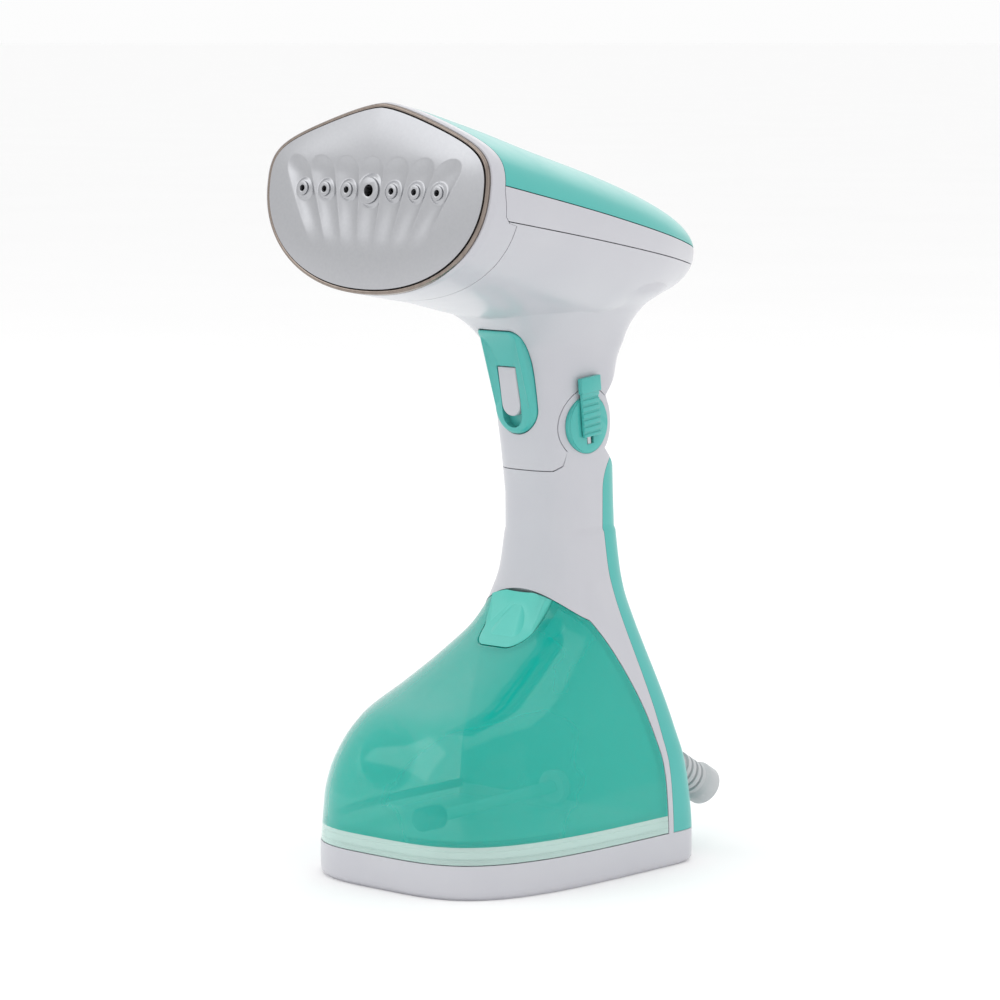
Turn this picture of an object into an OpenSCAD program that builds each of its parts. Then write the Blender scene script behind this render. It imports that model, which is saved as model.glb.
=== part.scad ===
// Folding hand-held garment steamer: a steam head on a hinged neck, a handle that flares into a
// flat foot, and a clear water tank that slides off the front of the handle.
// Origin: middle of the foot's underside. +Z up, -Y is the front (plate and tank), +X the latch side.

/* [Foot and handle] */
// Width of the foot
foot_w = 108; // [92:1:130]
// Length of the foot, front to back
foot_l = 127; // [108:1:152]
// Height of the foot's white rim
foot_h = 13; // [11:0.5:16]
// Width of the grip
grip_w = 36; // [33:0.5:43]
// Front of the grip
grip_front = 18; // [16:0.5:20]
// Back of the grip
grip_back = 56; // [55:0.5:60]
// Height at which the flare has run out into the grip
flare_h = 125; // [112:1:130]
// Wall of the moulded covers
wall = 2.4; // [2:0.1:2.8]

/* [Hinge] */
// Height of the fold axis
pivot_z = 167; // [160:1:200]
// Place of the fold axis from the middle, towards the back
pivot_y = 34; // [33:0.5:35]
// Radius of the hinge ears
ear_r = 13.8; // [12.5:0.1:14.2]
// Radius of the coloured disc on each ear
disc_r = 11.2; // [10:0.1:11.6]
// Radius of the hinge pin
pin_r = 3; // [2.5:0.1:3.6]

/* [Steam head] */
// Width of the head
head_w = 115; // [96:1:138]
// Front of the head at the height of the steam holes
head_front = 62.5; // [58:0.5:66]
// Length of the head from that front to its rounded rear
head_l = 161.5; // [150:0.5:170]
// Height of the steam holes above the fold axis
head_up = 92; // [90:0.5:100]
// Rise of the roof above the steam holes
roof = 31; // [28:0.5:34]
// Depth of the belly below the steam holes
belly = 38.5; // [36:0.5:40]

/* [Plate] */
// Thickness of the plate's rim
plate_t = 3; // [2.5:0.1:4]
// Crown of the plate's face
plate_crown = 2.2; // [1:0.1:3]
// Lean of the plate, top backwards
plate_lean = 7.9; // [6:0.1:9]
// Width of the metal trim round the plate
trim_w = 1.6; // [1.2:0.1:2]
// Number of steam holes
jets = 7; // [3:2:9]
// Spacing of the steam holes
jet_pitch = 11.2; // [9:0.1:11.4]
// Radius of the steam holes
jet_r = 1.2; // [0.8:0.1:1.5]

/* [Tank] */
// Wall of the water tank
tank_wall = 2; // [1.6:0.1:2.6]
// Height of the tank's bottom cover
cover_h = 6.5; // [5:0.5:8]
// Depth of the tank behind the middle of the foot
tank_back = 39.5; // [36:0.5:41]
// Top of the tank's arch
tank_top = 109; // [106:0.5:112]

/* [Fits] */
// Clearance between pieces that move on each other
gap = 0.35; // [0.3:0.05:0.5]
// Running clearance of a pin in its bore
run = 0.05; // [0.02:0.01:0.08]

/* [Hidden] */
$fn = 48;

// Points in one ring of a lofted shell, and the length that cutting shapes run past the object
ring_n = 28;
far = 400;
head_z = pivot_z + head_up;
inner_w = grip_w / 2 - wall;
// Half width of the fork's slot, of the barrel in it, and of the fork outside
slot_w = grip_w / 2 - 6.3;
barrel_w = slot_w - gap;
fork_w = grip_w / 2 - 3.8;
// Reach of the barrel behind the pin
barrel_r = grip_back - pivot_y - 1.7;

function spow(v, p) = sign(v) * pow(abs(v), p);
function mix(a, b, t) = a + (b - a) * t;
// Onto a grid of 64ths, which keeps a leaning ring exactly flat
function snap(v) = round(v * 64) / 64;

// A level ring at height z: half width w, from y = f to y = b, widest at m,
// with rounding exponents nf in front of m and nb behind it
function level_ring(z, w, f, b, m, nf, nb) = [
    for (i = [0:ring_n - 1])
        let (a = 360 * i / ring_n, n = sin(a) > 0 ? nb : nf, d = sin(a) > 0 ? b - m : m - f)
            [w * spow(cos(a), 2 / n), m + d * spow(sin(a), 2 / n), z]];

// Handle: height as a share of flare_h, then how much of the foot's extra width, front and back it has
flare = [[0, 0.95, 0.97, 0.75], [0.016, 0.99, 0.994, 1], [foot_h / flare_h, 1, 1, 1],
    [0.24, 0.972, 1, 0.92], [0.32, 0.93, 0.98, 0.84], [0.4, 0.833, 0.933, 0.75],
    [0.48, 0.722, 0.822, 0.67], [0.56, 0.592, 0.558, 0.59], [0.64, 0.453, 0.313, 0.5],
    [0.72, 0.314, 0.117, 0.42], [0.8, 0.189, 0.037, 0.34], [0.88, 0.092, 0.012, 0.27],
    [1, 0.022, 0, 0.16]];
// Neck: height above the fold axis as a share of head_up, then its share of the head's extra size
neck = [[-0.3, 0, 0, 0.01], [-0.13, 0, 0.031, 0], [0.033, 0, 0.068, 0], [0.141, 0.005, 0.087, 0.007],
    [0.25, 0.026, 0.112, 0.035], [0.326, 0.066, 0.149, 0.093], [0.402, 0.145, 0.224, 0.198],
    [0.478, 0.276, 0.373, 0.349], [0.554, 0.5, 0.6, 0.558], [0.62, 0.55, 0.68, 0.6]];
// Head: place along it, share of the half width, drop of the middle line, share of the roof,
// share of the belly, lean in 64ths, roof exponents at the ridge and at the shoulder
spine = [[0, 0.978, 0, 0.98, 0.985, 9, 1.5, 2.4], [0.01, 1, 0.3, 1, 1, 9, 1.5, 2.4],
    [0.17, 0.985, 5, 0.95, 1, 6, 1.55, 2.3], [0.356, 0.945, 10, 0.82, 1.05, 3, 1.65, 2.2],
    [0.542, 0.86, 15, 0.71, 1.03, 0, 1.75, 2.1], [0.697, 0.755, 20, 0.61, 0.86, 0, 1.85, 2.1],
    [0.82, 0.625, 24, 0.5, 0.65, 0, 1.9, 2.1], [0.907, 0.49, 28, 0.42, 0.45, 0, 2, 2.1],
    [0.963, 0.33, 30, 0.29, 0.27, 0, 2, 2], [1, 0.09, 32, 0.08, 0.08, 0, 2, 2]];

// A ring of the handle, t inside its surface
function handle_ring(s, t) =
    let (z = s[0] * flare_h, w = mix(grip_w, foot_w, s[1]) / 2 - t,
        f = mix(grip_front, -foot_l / 2, s[2]) + t, b = mix(grip_back, foot_l / 2, s[3]) - t,
        k = min(1, s[0] / 0.8))
    level_ring(z, w, f, b, b - 0.9 * min(w, 24), mix(3.8, 2.8, k), mix(4.4, 3, k));
// Where the handle's front is at height z
function front_at(z) = mix(grip_front, -foot_l / 2, lookup(z / flare_h, [for (s = flare) [s[0], s[2]]]));
function neck_ring(s, t) =
    let (z = pivot_z + s[0] * head_up, w = mix(grip_w, head_w, s[1]) / 2 - t,
        f = mix(grip_front, -head_front, s[2]) + t,
        b = mix(grip_back, head_l - head_front, s[3]) - t, k = max(0, s[0] - 0.33) / 0.29)
    level_ring(z, w, f, b, b - mix(0.9 * min(w, 24), 46, k), 2.9, mix(2.9, 1.9, k));
function head_ring(s, t) =
    let (y = snap(-head_front + s[0] * head_l - (s[0] == 1 ? t : 0)), w = max(1, s[1] * head_w / 2 - t),
        z = head_z - s[2], u = max(1, s[3] * roof - t), d = max(1, s[4] * belly - t))
    [for (i = [0:ring_n - 1])
        let (a = 360 * i / ring_n, n = sin(a) > 0 ? mix(s[6], s[7], pow(cos(a), 4)) : 2.15,
            v = snap((sin(a) > 0 ? u : d) * spow(sin(a), 2 / n)))
        [w * spow(cos(a), 2 / n), y + s[5] / 64 * v, snap(z) + v]];

// A smooth skin through a row of rings
module skin(rings)
    for (i = [0:len(rings) - 2])
        hull()
            polyhedron(points = concat(rings[i], rings[i + 1]),
                faces = [[for (k = [0:2 * ring_n - 1]) k]]);

// The handle from the foot to above the hinge, t inside its surface
module handle_form(t = 0)
    skin(concat([for (s = flare) handle_ring(s, t)], [for (i = [0:4]) neck_ring(neck[i], t)]));
module neck_form(t = 0)
    skin([for (s = neck) neck_ring(s, t)]);
module head_form(t = 0)
    skin([for (s = spine) head_ring(s, t)]);

// A side-view outline pushed through the whole width, or through the width from x0 to x1
module side_cut(points, x0 = -far / 2, x1 = far / 2)
    translate([x0, 0, 0])
        rotate([90, 0, 90])
            linear_extrude(x1 - x0)
                polygon(points);
// A pin-like cylinder along X
module x_rod(r, x0, x1, y, z)
    translate([x0, y, z])
        rotate([0, 90, 0])
            cylinder(r = r, h = x1 - x0);

// Side view of the handle's own material near the hinge, grown by g
function hinge_line(g) = [for (p = [[-far, -17.5 + g], [-14 - g, -17.5 + g], [-11 - g, -15.5 + g],
    [-9.8, -9.8], [0, 0], [9.8, -9.8 + g], [far, -far + g], [-far, -far]])
    [pivot_y + p[0], pivot_z + p[1]]];
// Where the neck has no material: behind and below the line it folds down on
fold_line = [for (p = [[0, 0], [0, gap], [28, 28 + gap], [far, 28 + gap], [far, -far], [0, -far]])
    [pivot_y + p[0], pivot_z + p[1]]];

// The arch that the tank fills, g larger all round
module tank_space(g = 0)
    intersection() {
        side_cut(concat([[-far, foot_h + gap - g], [tank_back + g, foot_h + gap - g]],
            [for (a = [0:10:90]) [4 + (tank_back - 4 + g) * cos(a), 30 + (tank_top - 30 + g) * sin(a)]],
            [[-far, tank_top + g]]));
        translate([0, far, 0])
            rotate([90, 0, 0])
                linear_extrude(2 * far)
                    polygon(concat([[foot_w / 2 + g, -far], [-foot_w / 2 - g, -far]],
                        [for (a = [180:-10:0]) [(foot_w / 2 + g) * cos(a), 20 + (tank_top - 25 + g) * sin(a)]]));
    }

// The seam between the coloured back strip and the handle
strip_y = 42.5;
strip_top = pivot_z - 10;
module back_space(g = 0)
    side_cut(concat([[far, strip_top + g], [far, foot_h - g], [strip_y - g, foot_h - g]],
        [for (a = [0:15:90]) [strip_y + 14 - (14 + g) * cos(a), strip_top - 16 + (16 + g) * sin(a)]]));

module handle_shell()
    color("white")
        difference() {
            intersection() {
                handle_form();
                union() {
                    side_cut(hinge_line(0));
                    x_rod(ear_r, -grip_w, grip_w, pivot_y, pivot_z);
                }
            }
            // Hollow behind the tank, and under the foot
            difference() {
                handle_form(wall);
                tank_space(gap + wall);
                x_rod(ear_r, fork_w + 0.1, grip_w, pivot_y, pivot_z);
                x_rod(ear_r, -grip_w, -fork_w - 0.1, pivot_y, pivot_z);
            }
            intersection() {
                handle_form(wall);
                translate([-far / 2, -far / 2, -1])
                    cube([far, far, foot_h - wall]);
            }
            tank_space(gap);
            back_space();
            // Room for the fork and the barrel
            translate([-fork_w - 0.1, pivot_y - 9.1, pivot_z - 30.1])
                cube([2 * fork_w + 0.2, 18.2, 60]);
            x_rod(ear_r - 1.9, -fork_w - 0.1, fork_w + 0.1, pivot_y, pivot_z);
            x_rod(barrel_r + 0.5, -slot_w, slot_w, pivot_y, pivot_z);
            // Bore for the tank's valve
            translate([0, far / 2, valve_z])
                rotate([90, 0, 0])
                    cylinder(r = valve_r + 0.1, h = far, $fn = 32);
            // Seats of the two discs
            for (m = [0, 1])
                mirror([m, 0, 0]) {
                    x_rod(disc_r + 0.1, grip_w / 2 - 1.9, grip_w, pivot_y, pivot_z);
                    x_rod(disc_r - 2.9, disc_in - 0.1, grip_w, pivot_y, pivot_z);
                }
        }

module back_cover()
    color("mediumturquoise")
        difference() {
            intersection() {
                handle_form();
                back_space();
                side_cut(hinge_line(0));
            }
            handle_form(wall);
            x_rod(barrel_r + 0.5, -slot_w, slot_w, pivot_y, pivot_z);
            // Outlet of the cord guard
            translate([guard_x, 0, guard_z])
                rotate([-90, 0, 0])
                    cylinder(r = guard_r + 0.1, h = far, $fn = 32);
        }

plate_w = head_w / 2 - 4.2;
plate_up = roof - 2.2;
plate_down = belly - 1.6;

// Foot plate: the lid under the foot
foot_in = wall + 0.15;
module foot_plate()
    color("gainsboro")
        difference() {
            linear_extrude(3)
                polygon([for (p = handle_ring(flare[0], foot_in)) [p[0], p[1]]]);
            for (p = foot_points)
                translate([p[0], p[1], -1])
                    cylinder(r = 5.1, h = 2.6);
            for (p = screw_points)
                translate([p[0], p[1], -1])
                    cylinder(r = 1.7, h = 6);
        }
foot_points = [for (x = [-1, 1], y = [-1, 1]) [x * foot_w * 0.315, y * foot_l * 0.3425]];
screw_points = [for (x = [-1, 1], y = [-1, 1]) [x * foot_w * 0.398, y * foot_l * 0.256]];
module rubber_feet()
    color("dimgray")
        for (p = foot_points)
            translate([p[0], p[1], 0])
                cylinder(r = 5, h = 1.5);
module foot_screws()
    color("silver")
        for (p = screw_points)
            translate([p[0], p[1], 0.6]) {
                cylinder(r = 1.5, h = 7.5);
                translate([0, 0, -0.2])
                    difference() {
                        cylinder(r = 1.6, h = 1);
                        cylinder(r = 0.8, h = 0.6, $fn = 6);
                    }
            }

// Hinge: a fork in the handle, a barrel in the neck, and the pin through both
module hinge_fork()
    color("lightgray")
        difference() {
            union() {
                for (m = [0, 1])
                    mirror([m, 0, 0]) {
                        x_rod(ear_r - 2, slot_w, fork_w, pivot_y, pivot_z);
                        translate([slot_w, pivot_y - 9, pivot_z - 30])
                            cube([fork_w - slot_w, 18, 30]);
                    }
                translate([-fork_w, pivot_y - 9, pivot_z - 30])
                    cube([2 * fork_w, 18, 7]);
            }
            x_rod(pin_r, -grip_w, grip_w, pivot_y, pivot_z);
            translate([0, pivot_y - 3, pivot_z - 31])
                cylinder(r = 5, h = 10);
        }
// The barrel's round part, with the larger sector that closes the back of the joint
module barrel_round(g) {
    x_rod(ear_r - 1.3 + g, -barrel_w - g, barrel_w + g, pivot_y, pivot_z);
    intersection() {
        x_rod(barrel_r + g, -barrel_w - g, barrel_w + g, pivot_y, pivot_z);
        side_cut([for (p = [[0, 0], [20, -30], [40, -30], [40, 40], [0, 40]])
            [pivot_y + p[0], pivot_z + p[1]]]);
    }
}
module hinge_barrel()
    color("whitesmoke")
        difference() {
            union() {
                barrel_round(0);
                translate([-barrel_w, pivot_y - 9, pivot_z])
                    cube([2 * barrel_w, 18, 34]);
            }
            x_rod(pin_r + run, -grip_w, grip_w, pivot_y, pivot_z);
            // Way through for the water hose and the wires
            translate([0, pivot_y - 3, pivot_z + 6])
                cylinder(r = 4.5, h = 40);
        }
module hinge_pin()
    color("silver")
        x_rod(pin_r, -fork_w, fork_w, pivot_y, pivot_z);

// Coloured discs on the ears; the right one carries the slot of the fold lock
disc_in = grip_w / 2 - 2.6;
disc_out = grip_w / 2 + 0.6;
module disc(slot)
    difference() {
        union() {
            x_rod(disc_r, grip_w / 2 - 1.8, disc_out - 0.5, pivot_y, pivot_z);
            x_rod(disc_r - 0.5, disc_out - 0.5, disc_out, pivot_y, pivot_z);
            x_rod(disc_r - 3, disc_in, grip_w / 2 - 1.8, pivot_y, pivot_z);
        }
        if (slot)
            translate([0, pivot_y, pivot_z])
                rotate([lock_lean, 0, 0])
                    translate([disc_in - 1, -1.9, -7.5])
                        cube([10, 3.8, 13]);
    }
module hinge_disc_right()
    color("turquoise")
        disc(true);
module hinge_disc_left()
    color("turquoise")
        mirror([1, 0, 0])
            disc(false);

// Fold lock: a ribbed thumb slide on the right disc, held up by a spring
lock_lean = 6;
lock_travel = 4;
lock_w = 9.7;
module lock_slider()
    color("turquoise")
        translate([0, pivot_y, pivot_z])
            rotate([lock_lean, 0, 0]) {
                difference() {
                    union() {
                        translate([disc_out + 0.3, -lock_w / 2, -4.4])
                            cube([1.5, lock_w, 17.4]);
                        translate([disc_out + 0.3, -lock_w / 2 - 0.6, 12.4])
                            cube([2.2, lock_w + 1.2, 6]);
                    }
                    for (k = [0:5])
                        translate([disc_out + 1.3, -far / 2, -3.2 + 2.6 * k])
                            cube([5, far, 0.9]);
                }
                translate([disc_in + 0.6, -1.5, -1.5])
                    cube([disc_out - disc_in, 3, 6]);
            }
module lock_spring()
    color("silver")
        translate([0, pivot_y, pivot_z])
            rotate([lock_lean, 0, 0])
                translate([disc_in + 1.9, 0, -7.4])
                    difference() {
                        cylinder(r = 1.2, h = 5.8);
                        translate([0, 0, -1])
                            cylinder(r = 0.8, h = 9);
                    }

// Water pump in the handle, with its hoses and the valve that the tank plugs into
valve_z = foot_h + 12;
valve_r = 6.5;
pump_y = 49;
pump_z = 44;
module pump_body()
    color("whitesmoke")
        translate([0, pump_y, pump_z]) {
            difference() {
                cylinder(r = 5.2, h = 44);
                translate([0, 0, -1])
                    cylinder(r = 1.5, h = 46);
            }
        }
module pump_coil()
    color("goldenrod")
        translate([0, pump_y, pump_z + 12])
            difference() {
                cylinder(r = 7.8, h = 20);
                translate([0, 0, -1])
                    cylinder(r = 5.2 + 0.05, h = 22);
            }
module pump_bracket()
    color("gray")
        translate([0, pump_y, pump_z])
            difference() {
                translate([-12, -6.6, 6])
                    cube([24, 14.6, 5]);
                translate([0, 0, -1])
                    cylinder(r = 5.2 + 0.05, h = 30);
            }
module valve_seat()
    color("white")
        translate([0, tank_back + gap, valve_z])
            rotate([-90, 0, 0])
                difference() {
                    union() {
                        cylinder(r = valve_r, h = wall);
                        cylinder(r = valve_r - 1.5, h = wall + 6);
                        translate([0, 0, wall])
                            cylinder(r = valve_r + 1.5, h = 1.5);
                    }
                    translate([0, 0, -1])
                        cylinder(r = 3, h = 20);
                }
module valve_seal()
    color("dimgray")
        translate([0, tank_back + gap + 0.1, valve_z])
            rotate([-90, 0, 0])
                rotate_extrude()
                    translate([2.25, 0])
                        square([0.7, 4]);
module hose(points, r = 2.6, bore = 1.5) {
    difference() {
        hose_path(points, r);
        hose_path(points, bore);
    }
}
module hose_path(points, r)
    for (i = [0:len(points) - 2])
        let (d = points[i + 1] - points[i], l = norm(d))
            translate(points[i])
                rotate([0, acos(d[2] / l), atan2(d[1], d[0])]) {
                    cylinder(r = r, h = l);
                    if (i > 0)
                        sphere(r = r + 0.04);
                }
module inlet_hose()
    color("lightgray")
        hose([[0, tank_back + gap + wall + 6.05, valve_z], [0, pump_y + 5, valve_z], [0, pump_y + 5, pump_z - 9],
            [0, pump_y, pump_z - 5], [0, pump_y, pump_z - 0.05]], 2.5, 1.4);
module outlet_hose()
    color("lightgray")
        hose([[0, pump_y, pump_z + 44.6], [0, pump_y - 3, pump_z + 60],
            [0, pivot_y - 3, pivot_z - 34], [0, pivot_y - 3, pivot_z - 22]], 2.5, 1.4);

// Cord outlet: a ribbed guard that droops from a ball in the back wall, a clamp and the terminal block
guard_x = 34;
guard_z = 36;
guard_r = 7;
guard_y = foot_l / 2 - 3;
guard_droop = 30;
module cord_guard()
    color("gainsboro")
        translate([guard_x, guard_y + 1, guard_z])
            difference() {
                union() {
                    rotate([-90, 0, 0]) {
                        translate([0, 0, -6])
                            cylinder(r = guard_r, h = 6);
                        translate([0, 0, -7.6])
                            cylinder(r = guard_r + 1.5, h = 2);
                    }
                    sphere(r = guard_r - 0.3);
                    rotate([-90 - guard_droop, 0, 0]) {
                        cylinder(r = 5.4, h = 21);
                        for (k = [0:3])
                            translate([0, 0, 6.8 + 3.4 * k])
                                cylinder(r = 6.4, h = 2);
                        translate([0, 0, 18.2])
                            cylinder(r1 = 5.6, r2 = guard_r + 0.7, h = 3);
                        translate([0, 0, 21.2])
                            cylinder(r = guard_r + 0.7, h = 5.4);
                        translate([0, 0, 26.6])
                            cylinder(r1 = guard_r + 0.7, r2 = guard_r - 1.2, h = 1.6);
                    }
                }
                translate([0, 1, 0])
                    rotate([90, 0, 0])
                        cylinder(r = 3.3, h = 12);
                rotate([-90 - guard_droop, 0, 0])
                    translate([0, 0, -1.5])
                        cylinder(r = 3.5, h = 34);
            }
module cord_clamp()
    color("gray")
        translate([guard_x, guard_y - 12, guard_z])
            difference() {
                translate([-9, -4, -6])
                    cube([18, 8, 12]);
                translate([0, 10, 0])
                    rotate([90, 0, 0])
                        cylinder(r = 3.4, h = 20);
            }
module terminal_block()
    color("beige")
        translate([-24, guard_y - 11, 30])
            difference() {
                translate([-7, -5, 0])
                    cube([14, 10, 22]);
                for (z = [5.5, 16.5])
                    translate([0, 10, z])
                        rotate([90, 0, 0])
                            cylinder(r = 1.8, h = 20);
            }

// Head: the shells share one form and part along three seams
module front_zone()
    side_cut([[-far, head_z + far / 2], [-head_front + 5.5 + 0.138 * far / 2, head_z + far / 2],
        [-head_front + 5.5, head_z], [-head_front + 7, head_z - 9], [-head_front + 9.5, head_z - 11.5],
        [-head_front + 13.5, head_z - 12.5], [-head_front + 11, head_z - 46], [-head_front + 6, head_z - 60],
        [-far, head_z - 60]]);
// Everything above a seam that falls from front to back
module above(z0, slope)
    side_cut([[-far, z0 + far * slope], [far, z0 - far * slope], [far, far + 200], [-far, far + 200]]);
module above_cover_seam()
    above(head_z - 9.6, 0.206);
module above_band_seam()
    above(head_z - 19.6, 0.165);

// The plate lies in its own leaning frame, facing -Y
module plate_frame()
    translate([0, -head_front - 0.7, head_z])
        rotate([-plate_lean, 0, 0])
            children();
function plate_line(g) = [for (i = [0:47])
    let (a = 360 * i / 48, n = sin(a) > 0 ? mix(1.5, 2.4, pow(cos(a), 4)) : 2.15,
        v = (sin(a) > 0 ? plate_up : plate_down) + g)
    [(plate_w + g) * spow(cos(a), 2 / n), v * spow(sin(a), 2 / n)]];
module plate_slab(g, y0, y1)
    translate([0, y1, 0])
        rotate([90, 0, 0])
            linear_extrude(y1 - y0)
                polygon(plate_line(g));

module nozzle_housing()
    color("white")
        difference() {
            intersection() {
                head_form();
                front_zone();
            }
            difference() {
                head_form(wall);
                plate_frame()
                    translate([-far / 2, -far, -far / 2])
                        cube([far, far + 4, far]);
            }
            plate_frame()
                plate_slab(trim_w + 0.4, -10, 3);
            plate_frame()
                plate_slab(-4, -10, 20);
        }
module trim_ring()
    color("silver")
        plate_frame()
            difference() {
                plate_slab(trim_w + 0.3, -0.6, 2.8);
                plate_slab(0.2, -2, 4);
            }
module face_plate()
    color("gainsboro")
        plate_frame()
            difference() {
                union() {
                    plate_slab(0.1, -0.8, plate_t);
                    for (k = [0:3])
                        plate_slab(-1.2 - 4 * k, -0.8 - plate_crown * (1 - pow(1 - (k + 1) / 4, 2)), 0);
                }
                jet_holes(2.05, 4.05);
            }
module jet_holes(r, r_mid)
    for (k = [0:jets - 1])
        let (x = (k - (jets - 1) / 2) * jet_pitch)
            translate([x, 10, -1.4])
                rotate([90, 0, 0])
                    cylinder(r = x == 0 ? r_mid : r, h = 20);
module steam_jets()
    color("silver")
        plate_frame()
            for (k = [0:jets - 1])
                let (x = (k - (jets - 1) / 2) * jet_pitch, mid = x == 0)
                    translate([x, plate_t, -1.4])
                        rotate([90, 0, 0])
                            difference() {
                                union() {
                                    cylinder(r = mid ? 4 : 2, h = plate_t + 0.8 + plate_crown + 0.7);
                                    translate([0, 0, plate_t + 0.8 + plate_crown + 0.1])
                                        cylinder(r = mid ? 4.7 : 2.6, h = 0.6);
                                }
                                translate([0, 0, -1])
                                    cylinder(r = mid ? 2.2 : jet_r, h = 20);
                            }
module top_cover()
    color("turquoise")
        difference() {
            intersection() {
                head_form();
                above_cover_seam();
            }
            head_form(wall);
            front_zone();
        }
module cover_band()
    color("white")
        difference() {
            intersection() {
                head_form();
                above_band_seam();
            }
            above_cover_seam();
            head_form(wall);
            front_zone();
        }
module head_shell()
    color("white")
        difference() {
            union() {
                head_form();
                neck_form();
            }
            above_band_seam();
            front_zone();
            difference() {
                union() {
                    head_form(wall);
                    neck_form(wall);
                }
                // Bosses that hold the trigger's pin
                for (m = [0, 1])
                    mirror([m, 0, 0])
                        x_rod(3.4, lever_w + gap, grip_w, trig_pin_y, trig_pin_z);
            }
            x_rod(1.52, -11.1, 11.1, trig_pin_y, trig_pin_z);
            // Room to fold: the handle's own outline, the ears and the line behind the pin
            side_cut(hinge_line(gap));
            side_cut(fold_line);
            x_rod(ear_r + gap, barrel_w, far, pivot_y, pivot_z);
            x_rod(ear_r + gap, -far, -barrel_w, pivot_y, pivot_z);
            barrel_round(0.1);
            trigger_hole(gap);
        }

// Heater: a cast block behind the plate, with its element, chamber lid, seal and safety parts
// A narrower head has lower shoulders, so its heater sits lower
heater_z = head_z - 2 - 0.1 * max(0, 115 - head_w);
heater_y = -head_front + 8;
module heater_block()
    color("darkgray")
        translate([0, heater_y, heater_z])
            difference() {
                union() {
                    translate([-34, 0, -15])
                        cube([68, 18, 30]);
                    for (x = [-1, 1])
                        translate([x * 34, 18, 0])
                            rotate([90, 0, 0])
                                cylinder(r = 9, h = 18);
                }
                translate([-27, 8, -9])
                    cube([54, 11, 18]);
                // Groove of the heating element
                element_path(3.3);
                for (x = [-1, 1])
                    translate([x * 34, 19, 0])
                        rotate([90, 0, 0])
                            cylinder(r = 1.7, h = 15);
            }
module element_path(r)
    translate([0, 4, 0]) {
        for (z = [-11.5, 11.5])
            translate([-24, 0, z])
                rotate([0, 90, 0])
                    cylinder(r = r, h = z > 0 ? 48 : 60);
        translate([-24, 0, 0])
            rotate([-90, 0, 0])
                rotate([0, 0, 90])
                    rotate_extrude(angle = 180)
                        translate([11.5, 0])
                            circle(r = r);
    }
module heating_element()
    color("silver")
        translate([0, heater_y, heater_z])
            element_path(3.2);
module chamber_gasket()
    color("firebrick")
        translate([0, heater_y + 18, heater_z])
            difference() {
                translate([-31, 0, -13])
                    cube([62, 1, 26]);
                translate([-27, -1, -9])
                    cube([54, 3, 18]);
            }
module chamber_cover()
    color("silver")
        translate([0, heater_y + 19, heater_z])
            difference() {
                union() {
                    translate([-32, 0, -14])
                        cube([64, 2, 28]);
                    for (x = [-1, 1])
                        translate([x * 34, 2, 0])
                            rotate([90, 0, 0])
                                cylinder(r = 6, h = 2);
                }
                for (x = [-34, 0, 34])
                    translate([x, 3, 0])
                        rotate([90, 0, 0])
                            cylinder(r = x == 0 ? 3 : 1.7, h = 4);
            }
module thermostat()
    color("black")
        translate([18, heater_y + 21, heater_z])
            rotate([-90, 0, 0]) {
                cylinder(r = 7, h = 4);
                translate([0, 0, 4])
                    cylinder(r = 5, h = 4);
            }
module thermal_fuse()
    color("ivory")
        translate([-28, heater_y + 24.1, heater_z])
            rotate([0, 90, 0])
                cylinder(r = 3, h = 16);
module heater_screws()
    color("silver")
        for (x = [-1, 1])
            translate([x * 34, heater_y + 21.05, heater_z])
                rotate([90, 0, 0]) {
                    cylinder(r = 1.6, h = 12);
                    translate([0, 0, -2.5])
                        cylinder(r = 3, h = 2.5);
                }
module steam_pipe()
    color("lightgray")
        hose([[0, heater_y + 21.05, heater_z], [0, 4, head_z - 4], [0, pivot_y - 3, head_z - 22],
            [0, pivot_y - 3, pivot_z + 12]], 2.5, 1.4);

// Trigger on the front of the neck; it turns on a pin at its top end
trig_w = 20;
trig_top = pivot_z + 36.5;
trig_low = pivot_z - 3.3;
trig_pin_y = 11.5;
trig_pin_z = pivot_z + 39.5;
// Lean of the neck's front face behind the trigger
face_lean = 9.6;
module trigger_hole(g)
    translate([0, pivot_y - 13, 0])
        rotate([90, 0, 0])
            linear_extrude(60)
                hull() {
                    translate([0, trig_low + trig_w / 2])
                        circle(r = trig_w / 2 + g);
                    translate([0, trig_top - 6])
                        square([trig_w + 2 * g, 12 + 2 * g], center = true);
                }
module trigger()
    color("turquoise")
        difference() {
            intersection() {
                neck_form(-1.6);
                trigger_hole(0);
            }
            neck_form(2.4);
            lock_bar(0.3, 1.2, 4.2);
        }
// The steam lock's bar, with the drop that its slot has below it
module lock_bar(g, inset, drop)
    translate([0, 10.9, pivot_z + 13])
        rotate([face_lean, 0, 0])
            translate([0, inset, 0])
                rotate([90, 0, 0])
                    linear_extrude(8)
                        hull() {
                            translate([0, 8.9])
                                square([9 + 2 * g, 1 + 2 * g], center = true);
                            translate([0, -4.9 - drop])
                                circle(r = 4.5 + g);
                        }
module steam_lock()
    color("white")
        intersection() {
            lock_bar(0, 0.9, 0);
            neck_form(-1.9);
        }
module trigger_lever()
    color("turquoise")
        difference() {
            union() {
                x_rod(3, -lever_w, lever_w, trig_pin_y, trig_pin_z);
                translate([-lever_w, trig_pin_y - 0.3, trig_pin_z - 15.5])
                    cube([2 * lever_w, 3, 15.5]);
            }
            x_rod(1.5 + run, -far / 2, far / 2, trig_pin_y, trig_pin_z);
        }
lever_w = 4;
module trigger_pin()
    color("silver")
        x_rod(1.5, -11, 11, trig_pin_y, trig_pin_z);
module microswitch()
    color("black")
        translate([-6, trig_pin_y + 7, trig_pin_z - 9])
            cube([12, 6, 10]);
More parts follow.
